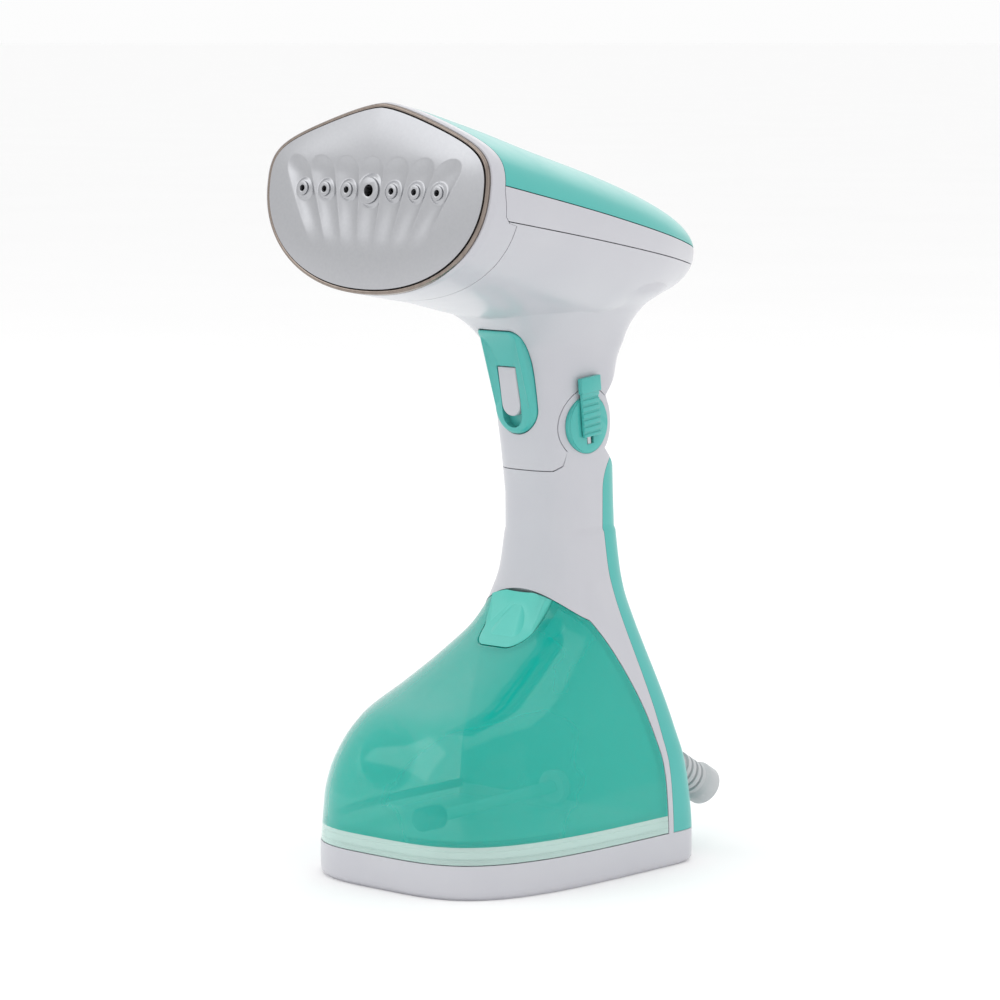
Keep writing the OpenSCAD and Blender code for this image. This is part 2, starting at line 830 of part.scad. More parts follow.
module trigger_spring()
    color("silver")
        translate([0, trig_pin_y + 3.7, trig_pin_z - 7.5])
            rotate([-90, 0, 0])
                difference() {
                    cylinder(r = 1.8, h = 3.2);
                    translate([0, 0, -1])
                        cylinder(r = 1.3, h = 8);
                }

// Tank: a clear shell, its pale bottom cover and what is in it
cover_top = foot_h + gap + cover_h;
plug_y = -14;
plug_z = 38;
plug_x = -foot_w / 2 + 9.5;
module tank_shell()
    color("lightseagreen", 0.5)
        difference() {
            intersection() {
                handle_form(0.15);
                tank_space();
            }
            difference() {
                intersection() {
                    handle_form(tank_wall);
                    tank_space(-tank_wall);
                }
                x_rod(12.5, -far, plug_x + 6, plug_y, plug_z);
                latch_pocket(gap + tank_wall, 11 + tank_wall);
            }
            translate([-far / 2, -far / 2, -1])
                cube([far, far, cover_top + 1]);
            latch_pocket(gap, 11);
            // Seat and neck of the filler plug
            x_rod(10.9, -far, plug_x, plug_y, plug_z);
            x_rod(8, -far, 0, plug_y, plug_z);
            translate([0, far / 2, valve_z])
                rotate([90, 0, 0])
                    cylinder(r = 5.1, h = far / 2 - 10, $fn = 32);
        }
module tank_cover()
    color("honeydew", 0.7)
        difference() {
            intersection() {
                handle_form(0.15);
                tank_space();
                translate([-far / 2, -far / 2, foot_h + gap])
                    cube([far, far, cover_h]);
            }
            intersection() {
                handle_form(tank_wall + 0.15);
                tank_space(-tank_wall);
                translate([-far / 2, -far / 2, foot_h + gap + 2])
                    cube([far, far, cover_h]);
            }
        }
module tank_seal()
    color("dimgray")
        difference() {
            intersection() {
                handle_form(tank_wall + 0.2);
                tank_space(-tank_wall - 0.05);
                translate([-far / 2, -far / 2, cover_top - 1.5])
                    cube([far, far, 3]);
            }
            handle_form(tank_wall + 1.7);
            tank_space_inner();
        }
module tank_space_inner()
    intersection() {
        handle_form(tank_wall + 1.7);
        tank_space(-tank_wall - 1.55);
    }
module tank_valve()
    color("white")
        translate([0, tank_back - tank_wall - 4, valve_z])
            rotate([-90, 0, 0])
                difference() {
                    union() {
                        cylinder(r = 5, h = 6);
                        cylinder(r = 6.5, h = 3.9);
                    }
                    translate([0, 0, -1])
                        cylinder(r = 2.6, h = 12);
                }
module pickup_tube()
    color("paleturquoise")
        hose([[0, tank_back - tank_wall - 4.05, valve_z], [0, -30, valve_z - 2]], 2.4, 1.5);
module tank_filter()
    color("slategray")
        translate([0, -36, valve_z - 2])
            rotate([90, 0, 0])
                translate([0, 0, -5.9])
                    difference() {
                        cylinder(r = 4.5, h = 10);
                        translate([0, 0, -1])
                            cylinder(r = 1.6, h = 9);
                    }
module filler_plug()
    color("dimgray")
        difference() {
            union() {
                x_rod(10.5, plug_x - 2, plug_x - 0.1, plug_y, plug_z);
                x_rod(7, plug_x - 0.1, plug_x + 9, plug_y, plug_z);
            }
            translate([plug_x - 3, plug_y - 8, plug_z - 1.2])
                cube([1.8, 16, 2.4]);
        }
module plug_seal()
    color("black")
        difference() {
            x_rod(7.9, plug_x + 3, plug_x + 5, plug_y, plug_z);
            x_rod(7.05, plug_x + 2, plug_x + 6, plug_y, plug_z);
        }

// Tank latch: the pale key-shaped button at the top of the tank
latch_low = tank_top - 25;
module latch_zone(g)
    translate([0, far / 2 - 150, 0])
        rotate([90, 0, 0])
            linear_extrude(far)
                hull() {
                    for (x = [-1, 1]) {
                        translate([x * 5.6, latch_low + 7])
                            circle(r = 7 + g);
                        translate([x * 17.5, latch_low + 40])
                            circle(r = 1 + g);
                    }
                }
module latch_pocket(g, deep)
    difference() {
        latch_zone(g);
        handle_form(deep);
    }
latch_travel = 2;
module tank_latch()
    color("mediumaquamarine")
        difference() {
            intersection() {
                handle_form(-0.25);
                translate([0, -latch_travel, 0])
                    tank_space();
                latch_zone(0);
            }
            handle_form(tank_wall + 0.6);
        }
module latch_spring()
    color("silver")
        translate([0, front_at(latch_low + 8) + 9.2, latch_low + 8])
            rotate([90, 0, 0])
                difference() {
                    cylinder(r = 2.4, h = 2.6);
                    translate([0, 0, -1])
                        cylinder(r = 1.8, h = 12);
                }

handle_shell();
foot_plate();
rubber_feet();
foot_screws();
back_cover();
hinge_fork();
hinge_pin();
hinge_disc_right();
hinge_disc_left();
lock_slider();
lock_spring();
pump_body();
pump_coil();
pump_bracket();
valve_seat();
valve_seal();
inlet_hose();
outlet_hose();
cord_guard();
cord_clamp();
terminal_block();
nozzle_housing();
face_plate();
trim_ring();
steam_jets();
top_cover();
cover_band();
head_shell();
hinge_barrel();
heater_block();
heating_element();
chamber_cover();
chamber_gasket();
thermostat();
thermal_fuse();
heater_screws();
steam_pipe();
trigger();
trigger_lever();
trigger_pin();
trigger_spring();
microswitch();
steam_lock();
tank_shell();
tank_cover();
tank_seal();
pickup_tube();
tank_filter();
tank_valve();
filler_plug();
plug_seal();
tank_latch();
latch_spring();
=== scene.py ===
# %% [markdown]
# # A folding garment steamer
# The maker's model gives every working piece its size and place. This notebook loads that model as a
# fixed frame, lays finer moulded covers over the faceted ones, and gives every piece its finish.
# Lengths are written in millimetres in the helpers and turned into metres when a mesh is made.

# %% Load the frame
import bpy
import bmesh
import numpy as np
from math import radians, sin, cos, pi
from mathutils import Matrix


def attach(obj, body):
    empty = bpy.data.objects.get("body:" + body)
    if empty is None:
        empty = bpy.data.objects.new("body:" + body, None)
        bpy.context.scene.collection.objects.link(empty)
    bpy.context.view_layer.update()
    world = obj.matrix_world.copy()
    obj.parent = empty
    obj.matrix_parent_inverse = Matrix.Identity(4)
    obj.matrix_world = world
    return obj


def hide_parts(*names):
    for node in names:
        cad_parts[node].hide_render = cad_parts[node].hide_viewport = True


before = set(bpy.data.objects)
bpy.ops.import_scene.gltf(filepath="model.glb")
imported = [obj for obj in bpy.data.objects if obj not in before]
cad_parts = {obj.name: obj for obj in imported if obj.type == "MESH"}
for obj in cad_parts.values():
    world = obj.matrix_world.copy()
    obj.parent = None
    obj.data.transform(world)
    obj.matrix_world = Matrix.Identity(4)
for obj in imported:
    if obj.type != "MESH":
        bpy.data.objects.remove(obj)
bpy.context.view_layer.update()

# %% [markdown]
# ## Camera, floor and light
# A product picture like this one is taken with a long lens, a little above the middle of the object,
# on a white sweep. Large soft boxes give the plastic its long, quiet highlights.

# %% Camera
def aim(obj, place, target):
    """Stands obj at place and turns its -Z axis to the target, with its own Y axis upwards."""
    from mathutils import Vector
    obj.location = place
    obj.rotation_euler = (Vector(target) - Vector(place)).to_track_quat("-Z", "Y").to_euler()

azimuth, distance = radians(42), 1.5
camera = bpy.data.objects.new("camera", bpy.data.cameras.new("camera"))
camera.data.lens, camera.data.sensor_width = 144.1, 36
camera.data.clip_end = 50
aim(camera, (sin(azimuth) * distance, -cos(azimuth) * distance + 0.004, 0.32), (0, 0.004, 0.14))
camera.data.shift_y = -0.002
bpy.context.collection.objects.link(camera)
bpy.context.scene.camera = camera
print("camera at", [round(c, 3) for c in camera.location])

# %% Floor and lights
def put(name, mesh):
    """Makes an object of a mesh and adds it to the scene."""
    obj = bpy.data.objects.new(name, mesh)
    bpy.context.collection.objects.link(obj)
    return obj

def softbox(name, place, size, watts):
    """A square area light that looks at the middle of the steamer."""
    lamp = bpy.data.lights.new(name, "AREA")
    lamp.size, lamp.energy = size, watts
    obj = bpy.data.objects.new(name, lamp)
    aim(obj, place, (0, 0, 0.15))
    bpy.context.collection.objects.link(obj)

floor_mesh = bpy.data.meshes.new("floor")
reach = 60.0
floor_mesh.from_pydata([(-reach, -reach, 0), (reach, -reach, 0), (reach, reach, 0), (-reach, reach, 0)],
                       [], [(0, 1, 2, 3)])
floor = put("floor", floor_mesh)
softbox("key", (-0.9, -1.3, 1.5), 1.5, 7)
softbox("side", (1.7, -0.2, 0.7), 1.6, 1.5)
softbox("top", (0.2, 0.4, 1.9), 1.8, 6)
softbox("back", (-0.6, 1.5, 0.9), 1.2, 2)
world = bpy.data.worlds.new("studio")
bpy.context.scene.world = world
world.use_nodes = True
world.node_tree.nodes["Background"].inputs["Color"].default_value = (1, 1, 1, 1)
world.node_tree.nodes["Background"].inputs["Strength"].default_value = 0.98
bpy.context.scene.view_settings.view_transform = "Standard"

# %% [markdown]
# ## Finishes
# A finish is a small network of shader nodes. To keep such a network readable, one class wraps a
# node's output so that it can be used in ordinary sums, and one method makes any node.

# %% A socket that can be used in sums
class Value:
    """One number from the shader, usable in Python expressions."""
    def __init__(self, paint, socket):
        self.paint, self.socket = paint, socket
    def math(self, other, kind, flip=False):
        pair = [other, self] if flip else [self, other]
        return self.paint.node("ShaderNodeMath", {"operation": kind}, pair)
    def __add__(self, o): return self.math(o, "ADD")
    __radd__ = __add__
    def __mul__(self, o): return self.math(o, "MULTIPLY")
    __rmul__ = __mul__
    def __sub__(self, o): return self.math(o, "SUBTRACT")
    def __rsub__(self, o): return self.math(o, "SUBTRACT", True)

class Finish:
    """A material that is being painted. Its principled shader is self.skin."""
    def __init__(self, name, viewport, **constants):
        self.material = bpy.data.materials.new(name)
        self.material.use_nodes = True
        self.material.diffuse_color = (*viewport[:3], 1)
        self.tree = self.material.node_tree
        self.skin = self.tree.nodes["Principled BSDF"]
        for key, value in constants.items():
            self.skin.inputs[key.replace("_", " ")].default_value = value
        self.place = self.node("ShaderNodeTexCoord", {}, [], "Object")
    def node(self, kind, settings=None, inputs=(), out=0):
        """Makes one node: its settings first, then its sockets in order or by name."""
        made = self.tree.nodes.new(kind)
        for key, value in (settings or {}).items():
            setattr(made, key, value)
        pairs = inputs.items() if isinstance(inputs, dict) else enumerate(inputs)
        for key, value in pairs:
            if isinstance(value, Value):
                self.tree.links.new(value.socket, made.inputs[key])
            elif value is not None:
                made.inputs[key].default_value = value
        return Value(self, made.outputs[out])
    def noise(self, scale, detail=3.0, rough=0.5, stretch=(1, 1, 1)):
        """Cloudy noise at a scale per metre, stretched along the axes."""
        place = self.node("ShaderNodeMapping", {}, {"Vector": self.place, "Scale": stretch})
        return self.node("ShaderNodeTexNoise", {}, {"Vector": place, "Scale": scale,
                                                    "Detail": detail, "Roughness": rough})
    def blend(self, amount, low, high):
        """A colour between low and high."""
        made = self.tree.nodes.new("ShaderNodeMix")
        made.data_type = "RGBA"
        for index, value in ((0, amount), (6, low), (7, high)):
            if isinstance(value, Value):
                self.tree.links.new(value.socket, made.inputs[index])
            else:
                made.inputs[index].default_value = value
        return Value(self, made.outputs[2])
    def into(self, socket, value):
        self.tree.links.new(value.socket, self.skin.inputs[socket])
    def bump(self, height, distance, strength=1.0):
        """Turns a height into a tilt of the surface."""
        self.into("Normal", self.node("ShaderNodeBump", {}, {"Height": height, "Distance": distance,
                                                             "Strength": strength}))

def linear(text):
    """A #rrggbb colour as the linear numbers the shader works in."""
    parts = np.array([int(text[i:i + 2], 16) for i in (1, 3, 5)]) / 255
    parts = np.where(parts < 0.04045, parts / 12.92, ((parts + 0.055) / 1.055) ** 2.4)
    return (*parts.tolist(), 1.0)

def moulded(name, low, high, rough=0.28, spread=0.1, grain=0.00002, grain_scale=1800, coat=0.0):
    """Injection-moulded plastic: a faint cloud in the colour, a patchy gloss and a fine grain, which the
    spark-eroded steel of the mould leaves on the part."""
    f = Finish(name, linear(high), IOR=1.49, Coat_Weight=coat, Coat_Roughness=0.1)
    f.into("Base Color", f.blend(f.noise(38, 4), linear(low), linear(high)))
    f.into("Roughness", f.noise(120, 3) * spread + (rough - spread / 2))
    f.bump(f.noise(grain_scale, 2) + 0.6 * f.noise(60, 2), grain)
    return f.material

def metal(name, low, high, rough, stretch=(1, 1, 1), scale=900, grain=0.00003, spread=0.16):
    """Metal with a grain drawn along one axis, which breaks up its highlight."""
    f = Finish(name, linear(high), Metallic=1.0)
    streak = f.noise(scale, 4, 0.6, stretch)
    f.into("Base Color", f.blend(streak, linear(low), linear(high)))
    f.into("Roughness", f.noise(scale * 0.7, 3, 0.6, stretch) * spread + (rough - spread / 2))
    f.bump(streak, grain)
    return f.material

# %% The finishes of this steamer
white = moulded("white_gloss", "#bbbbc2", "#c3c3c8", 0.3, 0.08, coat=0.2)
grey = moulded("light_grey", "#b1b4b6", "#bdc0c2", 0.42, 0.14, 0.00004, 900)
teal = moulded("teal_gloss", "#41aba4", "#4cb3ac", 0.32, 0.1, coat=0.15)
pale_teal = moulded("latch_teal", "#4cbdb0", "#56c4b7", 0.34, 0.1, coat=0.15)
black = moulded("black_plastic", "#1c1c1e", "#2a2a2c", 0.5, 0.2, 0.00004, 700)
rubber = moulded("dark_rubber", "#26272a", "#37383b", 0.7, 0.16, 0.00006, 500)
seal = moulded("seal_rubber", "#6e2a26", "#85342e", 0.6, 0.16, 0.00004, 600)
hose = moulded("hose_silicone", "#cfd2cd", "#dee0db", 0.45, 0.14, 0.00003, 500)
sleeve = moulded("glass_sleeve", "#ddd6c2", "#efe9d9", 0.75, 0.12, 0.0001, 1500)
plate_metal = metal("plate_metal", "#abacb0", "#b6b7ba", 0.34, (1, 1, 1), 900, 0.000004, 0.06)
cast = metal("cast_metal", "#85868a", "#a6a7aa", 0.5, (1, 1, 1), 700, 0.0001, 0.2)
trim_metal = metal("trim_metal", "#776c65", "#a0958d", 0.22, (1, 1, 0.1), 600, 0.00001, 0.1)
steel = metal("steel", "#a4a6aa", "#cfd1d4", 0.3, (1, 0.05, 1), 900, 0.00002, 0.16)
copper = metal("coil_wire", "#8c4b22", "#c17a45", 0.38, (0.04, 0.04, 1), 1500, 0.0002, 0.16)

def clear(name, tint, tint_edge, alpha_face, alpha_edge, rough=0.06):
    """Clear tinted plastic: thin where it faces the eye, dense where it turns away, as a wall seen
    along its length is. The tint sits in the colour and the wall's density in alpha."""
    f = Finish(name, linear(tint), IOR=1.5, Roughness=rough, Coat_Weight=0.6, Coat_Roughness=0.04)
    edge = f.node("ShaderNodeLayerWeight", {}, {"Blend": 0.42}, "Facing")
    cloud = f.noise(30, 3)
    f.into("Base Color", f.blend(edge, linear(tint), linear(tint_edge)))
    f.into("Alpha", f.node("ShaderNodeMath", {"operation": "MINIMUM"},
                           [edge * (alpha_edge - alpha_face) + alpha_face + 0.04 * cloud, 1.0]))
    f.bump(f.noise(60, 2), 0.00003)
    return f.material

tank_clear = clear("tank_clear", "#08c8b6", "#0aa79c", 0.42, 0.9, 0.1)
cover_clear = clear("tank_cover_clear", "#d3ece6", "#b4dcd3", 0.55, 0.92, 0.2)
tube_clear = clear("tube_clear", "#c8f0ea", "#8fd0c8", 0.5, 0.9)

sweep = Finish("paper_sweep", (1, 1, 1), Roughness=0.9)
sweep.into("Base Color", sweep.blend(sweep.noise(3, 3), linear("#fbfbfb"), linear("#fefefe")))
floor_mesh.materials.append(sweep.material)
print("finishes:", len(bpy.data.materials))

# %% [markdown]
# ## The steamer's body as one skin
# The real covers are split from one smooth shape. So is this one: stations give the width, front and
# back of the body at a few heights, a smooth curve runs through them, and every level is a
# superellipse, a circle whose corners can be filled out. The same numbers made the working model.

# %% Curves through stations
def through(stations, t):
    """A smooth curve through rows of stations that never overshoots: a cubic between neighbours. Its
    slope at a station is the harmonic mean of the slopes on both sides, or flat where their signs differ."""
    rows = np.array(stations, float)
    x, y = rows[:, 0], rows[:, 1:]
    h = np.diff(x)[:, None]
    d = np.diff(y, axis=0) / h
    m = np.zeros_like(y)
    same = d[:-1] * d[1:] > 0
    wa, wb = 2 * h[1:] + h[:-1], h[1:] + 2 * h[:-1]
    with np.errstate(divide="ignore", invalid="ignore"):
        mean = (wa + wb) / (wa / d[:-1] + wb / d[1:])
    m[1:-1] = np.where(same, mean, 0)
    m[0], m[-1] = d[0], d[-1]
    k = np.clip(np.searchsorted(x, t, side="right") - 1, 0, len(x) - 2)
    u = ((np.asarray(t) - x[k]) / h[k, 0])[:, None]
    return ((2 * u**3 - 3 * u**2 + 1) * y[k] + (u**3 - 2 * u**2 + u) * h[k] * m[k]
            + (3 * u**2 - 2 * u**3) * y[k + 1] + (u**3 - u**2) * h[k] * m[k + 1])

def spow(v, p):
    """A power that keeps the sign of its base."""
    return np.sign(v) * np.abs(v) ** p

def mix(a, b, t):
    return a + (b - a) * t

foot_w, foot_l, foot_h, grip_w = 108, 127, 13, 36
grip_front, grip_back, flare_h, wall = 18, 56, 125, 2.4
pivot_y, pivot_z, ear_r = 34, 167, 13.8
head_w, head_front, head_l, head_up, roof, belly = 115, 62.5, 161.5, 92, 31, 38.5
head_z = pivot_z + head_up
gap, strip_y, strip_top, tank_back, tank_top = 0.35, 42.5, 157, 39.5, 109
under = -6.0                      # forms that hollow another start this far below the floor
plug_y, plug_z = -14, 38
guard_x, guard_z = 34, 36

# Height, share of the extra width, front and back
flare = [[0, 0.95, 0.97, 0.75], [0.016, 0.99, 0.994, 1], [0.104, 1, 1, 1], [0.24, 0.972, 1, 0.92],
         [0.32, 0.93, 0.98, 0.84], [0.4, 0.833, 0.933, 0.75], [0.48, 0.722, 0.822, 0.67],
         [0.56, 0.592, 0.558, 0.59], [0.64, 0.453, 0.313, 0.5], [0.72, 0.314, 0.117, 0.42],
         [0.8, 0.189, 0.037, 0.34], [0.88, 0.092, 0.012, 0.27], [1, 0.022, 0, 0.16]]
neck = [[-0.3, 0, 0, 0.01], [-0.13, 0, 0.031, 0], [0.033, 0, 0.068, 0], [0.141, 0.005, 0.087, 0.007],
        [0.25, 0.026, 0.112, 0.035], [0.326, 0.066, 0.149, 0.093], [0.402, 0.145, 0.224, 0.198],
        [0.478, 0.276, 0.373, 0.349], [0.554, 0.5, 0.6, 0.558], [0.62, 0.55, 0.68, 0.6]]
# Place, width, drop, roof, belly, lean, roof exponents at ridge and shoulder
spine = [[0, 0.978, 0, 0.98, 0.985, 9, 1.5, 2.4], [0.01, 1, 0.3, 1, 1, 9, 1.5, 2.4],
         [0.17, 0.985, 5, 0.95, 1, 6, 1.55, 2.3], [0.356, 0.945, 10, 0.82, 1.05, 3, 1.65, 2.2],
         [0.542, 0.86, 15, 0.71, 1.03, 0, 1.75, 2.1], [0.697, 0.755, 20, 0.61, 0.86, 0, 1.85, 2.1],
         [0.82, 0.625, 24, 0.5, 0.65, 0, 1.9, 2.1], [0.907, 0.49, 28, 0.42, 0.45, 0, 2, 2.1],
         [0.963, 0.33, 30, 0.29, 0.27, 0, 2, 2], [0.985, 0.215, 31.2, 0.19, 0.18, 0, 2, 2],
         [0.996, 0.115, 31.8, 0.1, 0.1, 0, 2, 2], [1, 0.03, 32, 0.03, 0.03, 0, 2, 2]]

def body_sizes(z, t=0):
    """Half width, front, back and rounding of the body at heights z, t inside its surface."""
    z = np.asarray(z, float)
    low = through(flare, np.clip(z / flare_h, 0, 1))
    high = through(neck, np.clip((z - pivot_z) / head_up, -0.3, 0.62))
    w = np.where(z <= flare_h, mix(grip_w, foot_w, low[:, 0]), mix(grip_w, head_w, high[:, 0])) / 2 - t
    f = np.where(z <= flare_h, mix(grip_front, -foot_l / 2, low[:, 1]),
                 mix(grip_front, -head_front, high[:, 1])) + t
    b = np.where(z <= flare_h, mix(grip_back, foot_l / 2, low[:, 2]),
                 mix(grip_back, head_l - head_front, high[:, 2])) - t
    between = np.clip((z - flare_h) / (pivot_z - 0.3 * head_up - flare_h), 0, 1)
    if np.any(between < 1):
        b = np.where(z > flare_h, np.where(between < 1, mix(57.2, 56.43, between) - t, b), b)
    k = np.clip(z / flare_h / 0.8, 0, 1)
    nf = np.where(z <= flare_h, mix(3.8, 2.8, k), 2.9)
    rise = np.clip(((z - pivot_z) / head_up - 0.33) / 0.29, 0, 1)
    nb = np.where(z <= flare_h, mix(4.4, 3.0, k), mix(2.9, 1.9, rise))
    return w, f, b, b - mix(0.9 * np.minimum(w, 24), 46, rise), nf, nb

def body_rings(z, t=0, count=192):
    """Superellipse rings: x = w cos^(2/n), y = middle + depth sin^(2/n), one ring for each height."""
    w, f, b, m, nf, nb = [v[:, None] for v in body_sizes(z, t)]
    a = np.linspace(0, 2 * pi, count, endpoint=False)[None]
    back = np.sin(a) > 0
    n, d = np.where(back, nb, nf), np.where(back, b - m, m - f)
    return np.stack([w * spow(np.cos(a), 2 / n), m + d * spow(np.sin(a), 2 / n),
                     np.broadcast_to(np.asarray(z, float)[:, None], (len(z), count))], -1)

def front_face(x, z, proud=0):
    """How far forward the body's front is at x and z: the superellipse solved for y."""
    w, f, b, m, nf, nb = body_sizes(np.ravel(z), -proud)
    x = np.abs(np.ravel(x))
    y = m - (m - f) * (1 - np.clip(x / w, 0, 1) ** nf) ** (1 / nf)
    return y.reshape(np.shape(z))

def head_rings(u, t=0, count=192):
    """Leaning superellipse rings of the head, t inside its surface. The roof's exponent rises from the
    ridge to the shoulder, which makes the soft point of the roof."""
    s = through(spine, u)
    w = np.maximum(0.6, s[:, 0] * head_w / 2 - t)[:, None]
    up = np.maximum(0.5, s[:, 2] * roof - t)[:, None]
    down = np.maximum(0.5, s[:, 3] * belly - t)[:, None]
    y = (-head_front + u * head_l)[:, None] - np.where(u == 1, t, 0)[:, None]
    a = np.linspace(0, 2 * pi, count, endpoint=False)[None]
    n = np.where(np.sin(a) > 0, mix(s[:, 5, None], s[:, 6, None], np.cos(a) ** 4), 2.15)
    v = np.where(np.sin(a) > 0, up, down) * spow(np.sin(a), 2 / n)
    return np.stack([w * spow(np.cos(a), 2 / n), y + s[:, 4, None] / 64 * v, head_z - s[:, 1, None] + v], -1)

def outward(mesh):
    """Turns a closed mesh's faces round if they enclose a negative volume."""
    work = bmesh.new()
    work.from_mesh(mesh)
    if work.calc_volume(signed=True) < 0:
        bmesh.ops.reverse_faces(work, faces=work.faces[:])
    work.to_mesh(mesh)
    work.free()
    return mesh

def solid(name, rings):
    """A closed mesh through rings of equal count, with a fan of triangles over each end."""
    rows, count = rings.shape[:2]
    verts = np.concatenate([rings.reshape(-1, 3), rings[[0, -1]].mean(1)]) / 1000
    i, j = np.meshgrid(np.arange(rows - 1), np.arange(count), indexing="ij")
    k = (j + 1) % count
    quads = np.stack([i * count + j, i * count + k, (i + 1) * count + k, (i + 1) * count + j], -1)
    ring = np.arange(count)
    nxt = (ring + 1) % count
    last, base = rows * count, (rows - 1) * count
    caps = ([(last, b, a) for a, b in zip(ring.tolist(), nxt.tolist())]
            + [(last + 1, base + a, base + b) for a, b in zip(ring.tolist(), nxt.tolist())])
    mesh = bpy.data.meshes.new(name)
    mesh.from_pydata(verts.tolist(), [], quads.reshape(-1, 4).tolist() + caps)
    mesh.update()
    return put(name, outward(mesh))

heights = np.concatenate([np.linspace(0, 2, 4), np.linspace(3.5, 224, 150)])
places = np.concatenate([np.linspace(0, 0.03, 6), np.linspace(0.045, 0.93, 70),
                         1 - 0.07 * np.linspace(0.97, 0, 22) ** 2])
print("body levels:", len(heights), "head places:", len(places))

# %% [markdown]
# ## Cutting the skin into covers
# A mould maker splits the smooth shape along seams. Here each seam is a simple cutting block, seen
# from the side or the front, and a Boolean modifier keeps or removes what lies inside it. The
# modifier's result is written into the mesh at once, so no live modifier is left on the cover.

# %% Cutting tools
def block(outline, low, high, along="x"):
    """An outline pushed straight along one axis: a closed prism. A side outline lists (y, z), and a
    front one (x, z)."""
    p = np.array(outline, float)
    area = np.sum(p[:, 0] * np.roll(p[:, 1], -1) - np.roll(p[:, 0], -1) * p[:, 1])
    if area < 0:
        p = p[::-1]
    rings = []
    for c in (low, high):
        col = np.full(len(p), float(c))
        rings.append(np.stack([col, p[:, 0], p[:, 1]] if along == "x" else [p[:, 0], col, p[:, 1]], -1))
    n = len(p)
    verts = np.concatenate(rings) / 1000
    faces = [list(range(n))[::-1], list(range(n, 2 * n))]
    faces += [[i, (i + 1) % n, n + (i + 1) % n, n + i] for i in range(n)]
    mesh = bpy.data.meshes.new("block")
    mesh.from_pydata(verts.tolist(), [], faces)
    work = bmesh.new()
    work.from_mesh(mesh)
    bmesh.ops.triangulate(work, faces=work.faces[:])
    bmesh.ops.recalc_face_normals(work, faces=work.faces[:])
    work.to_mesh(mesh)
    work.free()
    return put("block", mesh)

def rod(radius, low, high, y, z, count=96):
    """A round bar along X."""
    a = np.linspace(0, 2 * pi, count, endpoint=False)
    return block(np.stack([y + radius * np.cos(a), z + radius * np.sin(a)], -1), low, high)

def combine(obj, other, kind):
    """Applies one Boolean with another object, writes the result into the mesh and bins the other."""
    tool = obj.modifiers.new("cut", "BOOLEAN")
    tool.solver, tool.operation, tool.object = "MANIFOLD", kind, other
    made = bpy.data.meshes.new_from_object(obj.evaluated_get(bpy.context.evaluated_depsgraph_get()))
    old = obj.data
    obj.modifiers.clear()
    obj.data = made
    bpy.data.meshes.remove(old)
    bpy.data.objects.remove(other)
    return obj

def cut(obj, *others):
    for other in others:
        combine(obj, other, "DIFFERENCE")
    return obj

def keep(obj, *others):
    for other in others:
        combine(obj, other, "INTERSECT")
    return obj

def join(obj, *others):
    for other in others:
        combine(obj, other, "UNION")
    return obj

def finished(obj, name, body, finish, *nodes, sharp=34):
    """Names a cover, smooths it except along its edges, gives it its finish and its place in the frame."""
    obj.name = obj.data.name = name
    obj.data.materials.clear()
    obj.data.materials.append(finish)
    obj.data.polygons.foreach_set("use_smooth", np.ones(len(obj.data.polygons), bool))
    obj.data.set_sharp_from_angle(angle=radians(sharp))
    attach(obj, body)
    if nodes:
        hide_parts(*nodes)
    print(name, len(obj.data.polygons), "faces")
    return obj

def body_form(t=0, low=0.0):
    """The foot, the handle and the lower neck; a form from below the floor serves to hollow another."""
    return solid("body", body_rings(np.concatenate([[low], heights[1:-20]]), t))

def neck_form(t=0):
    z = np.linspace(140, 224, 90)
    return solid("neck", body_rings(z, t))

def head_form(t=0):
    return solid("head", head_rings(places, t))

far = 400
seam = 0.18

# %% [markdown]
# ## The head's covers
# Four mouldings close the head: the nozzle housing round the plate, the coloured top cover, a white
# band under it, and the shell that also makes the neck. Each is the head's skin between its seams.

# %% Seams of the head
def front_zone(back=0):
    """What lies in front of the nozzle housing's seam, in side view."""
    y, z = -head_front + back, head_z
    return block([[-far, z + 200], [y + 5.5 + 0.138 * 200, z + 200], [y + 5.5, z], [y + 7, z - 9],
                  [y + 9.5, z - 11.5], [y + 13.5, z - 12.5], [y + 11, z - 46], [y + 6, z - 60],
                  [-far, z - 60]],
                 -200, 200)

def above(z0, slope):
    """Everything over a seam that falls from front to back."""
    return block([[-far, z0 + far * slope], [far, z0 - far * slope], [far, 700], [-far, 700]], -200, 200)

def plate_outline(grow=0.0, count=192, up=28.8, down=36.9, half=53.3):
    """The plate's outline: the head's own superellipse, a little smaller. Returns x and height."""
    a = np.linspace(0, 2 * pi, count, endpoint=False)
    n = np.where(np.sin(a) > 0, mix(1.5, 2.4, np.cos(a) ** 4), 2.15)
    v = (np.where(np.sin(a) > 0, up, down) + grow) * spow(np.sin(a), 2 / n)
    return np.stack([(half + grow) * spow(np.cos(a), 2 / n), v], -1)

lean = radians(7.9)
def on_plate(x, depth, v):
    """From the plate's own frame, where depth is positive towards the room, to the object's frame."""
    return np.stack([x, -head_front - 0.7 - depth * cos(lean) + v * sin(lean),
                     head_z + depth * sin(lean) + v * cos(lean)], -1)

def plate_prism(grow, low, high):
    p = plate_outline(grow)
    return solid("prism", np.stack([on_plate(p[:, 0], np.full(len(p), d), p[:, 1]) for d in (low, high)]))

housing = keep(head_form(), front_zone(-seam))
front = -head_front
cut(housing, keep(head_form(wall), block([[front - 26, head_z + 90], [front + 64, head_z + 400],
                                          [200, head_z + 400], [200, 100], [front - 24, 100]], -200, 200)))
cut(housing, plate_prism(1.9, -3, 12), plate_prism(-4, -20, 12))
finished(housing, "nozzle_housing_skin", "head", white, "nozzle_housing")

cover = keep(head_form(), above(head_z - 9.6 + seam, 0.206))
cut(cover, head_form(wall), front_zone(seam))
finished(cover, "top_cover_skin", "head", teal, "top_cover")

